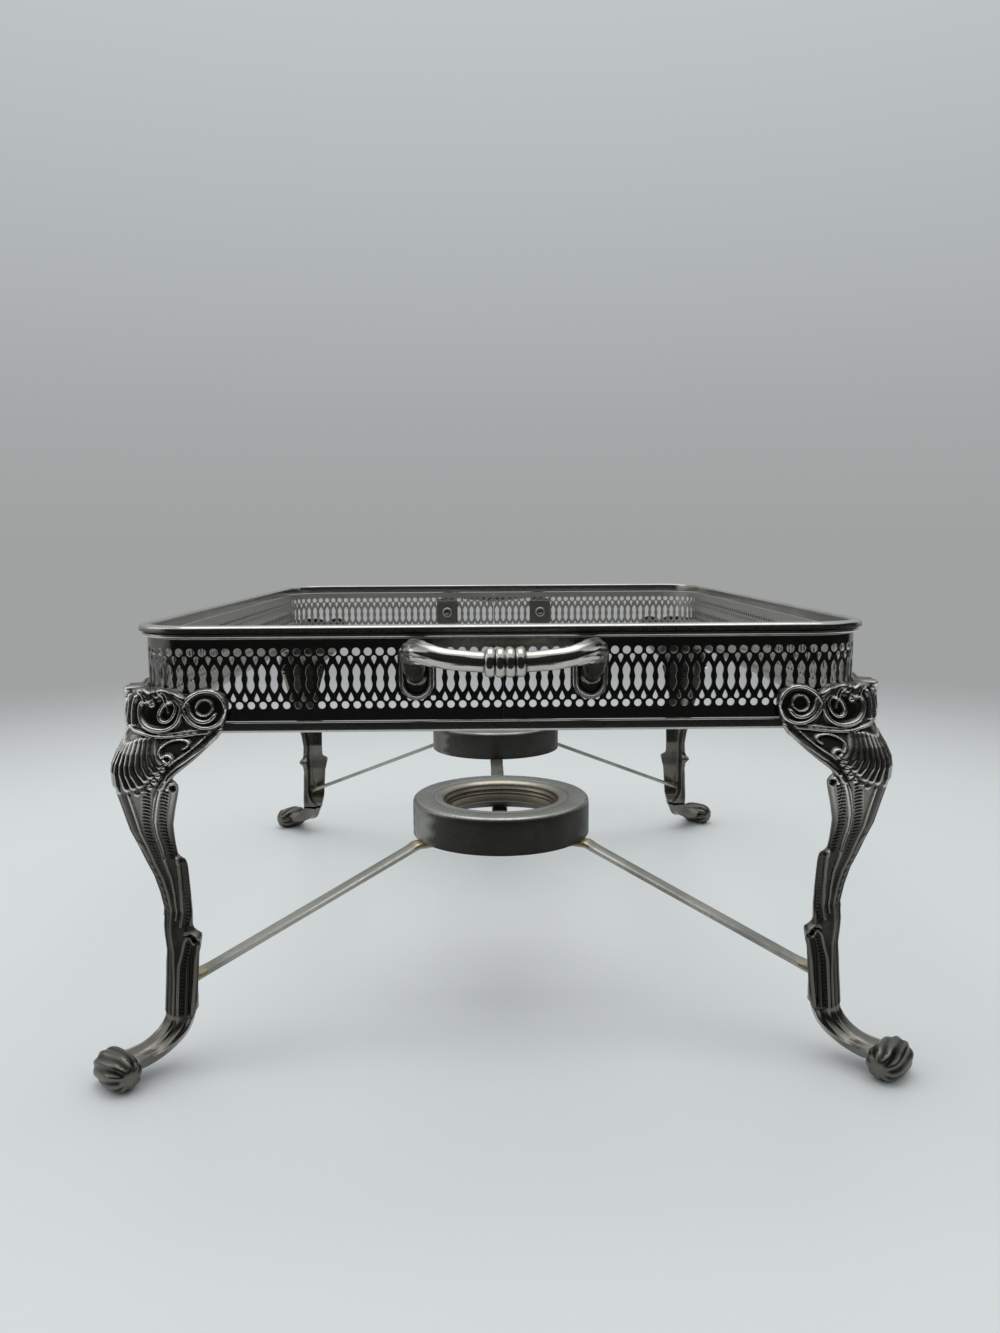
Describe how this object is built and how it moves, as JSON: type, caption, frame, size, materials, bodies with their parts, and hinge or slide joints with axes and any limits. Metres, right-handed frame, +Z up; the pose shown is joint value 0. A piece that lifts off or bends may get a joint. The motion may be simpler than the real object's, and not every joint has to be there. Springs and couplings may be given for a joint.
{
  "type": "chafing dish stand",
  "caption": "Rectangular silver-plated stand with a pierced gallery, cabriole legs, end handles and burner rings for keeping a dish warm.",
  "frame": {"origin": "on the table under the centre of the stand", "axes": "+X across the stand, +Y along it from the front end to the rear end, +Z up"},
  "size_m": [0.3056, 0.3872, 0.1693],
  "materials": {
    "silver_plate": "polished, lightly tarnished",
    "cast_silver": "cast and polished, dark in the hollows",
    "worn_plate": "dull tarnished plate with heat stains",
    "dull_metal": "unpolished, dark"
  },
  "bodies": {
    "root": {"upper_rim": "silver_plate", "lower_rim": "silver_plate", "gallery_left": "silver_plate", "gallery_right": "silver_plate", "leg_front_left": "cast_silver", "leg_front_right": "cast_silver", "leg_rear_left": "cast_silver", "leg_rear_right": "cast_silver", "handle_front": "cast_silver", "handle_rear": "cast_silver", "shield_front_left": "cast_silver", "shield_front_right": "cast_silver", "shield_rear_left": "cast_silver", "shield_rear_right": "cast_silver", "backing_front_left": "dull_metal", "backing_front_right": "dull_metal", "backing_rear_left": "dull_metal", "backing_rear_right": "dull_metal", "nut_front_left": "dull_metal", "nut_front_right": "dull_metal", "nut_rear_left": "dull_metal", "nut_rear_right": "dull_metal", "burner_ring_front": "worn_plate", "burner_ring_rear": "worn_plate", "strap_centre": "worn_plate", "strap_front_left": "worn_plate", "strap_front_right": "worn_plate", "strap_rear_left": "worn_plate", "strap_rear_right": "worn_plate"}
  },
  "joints": []
}
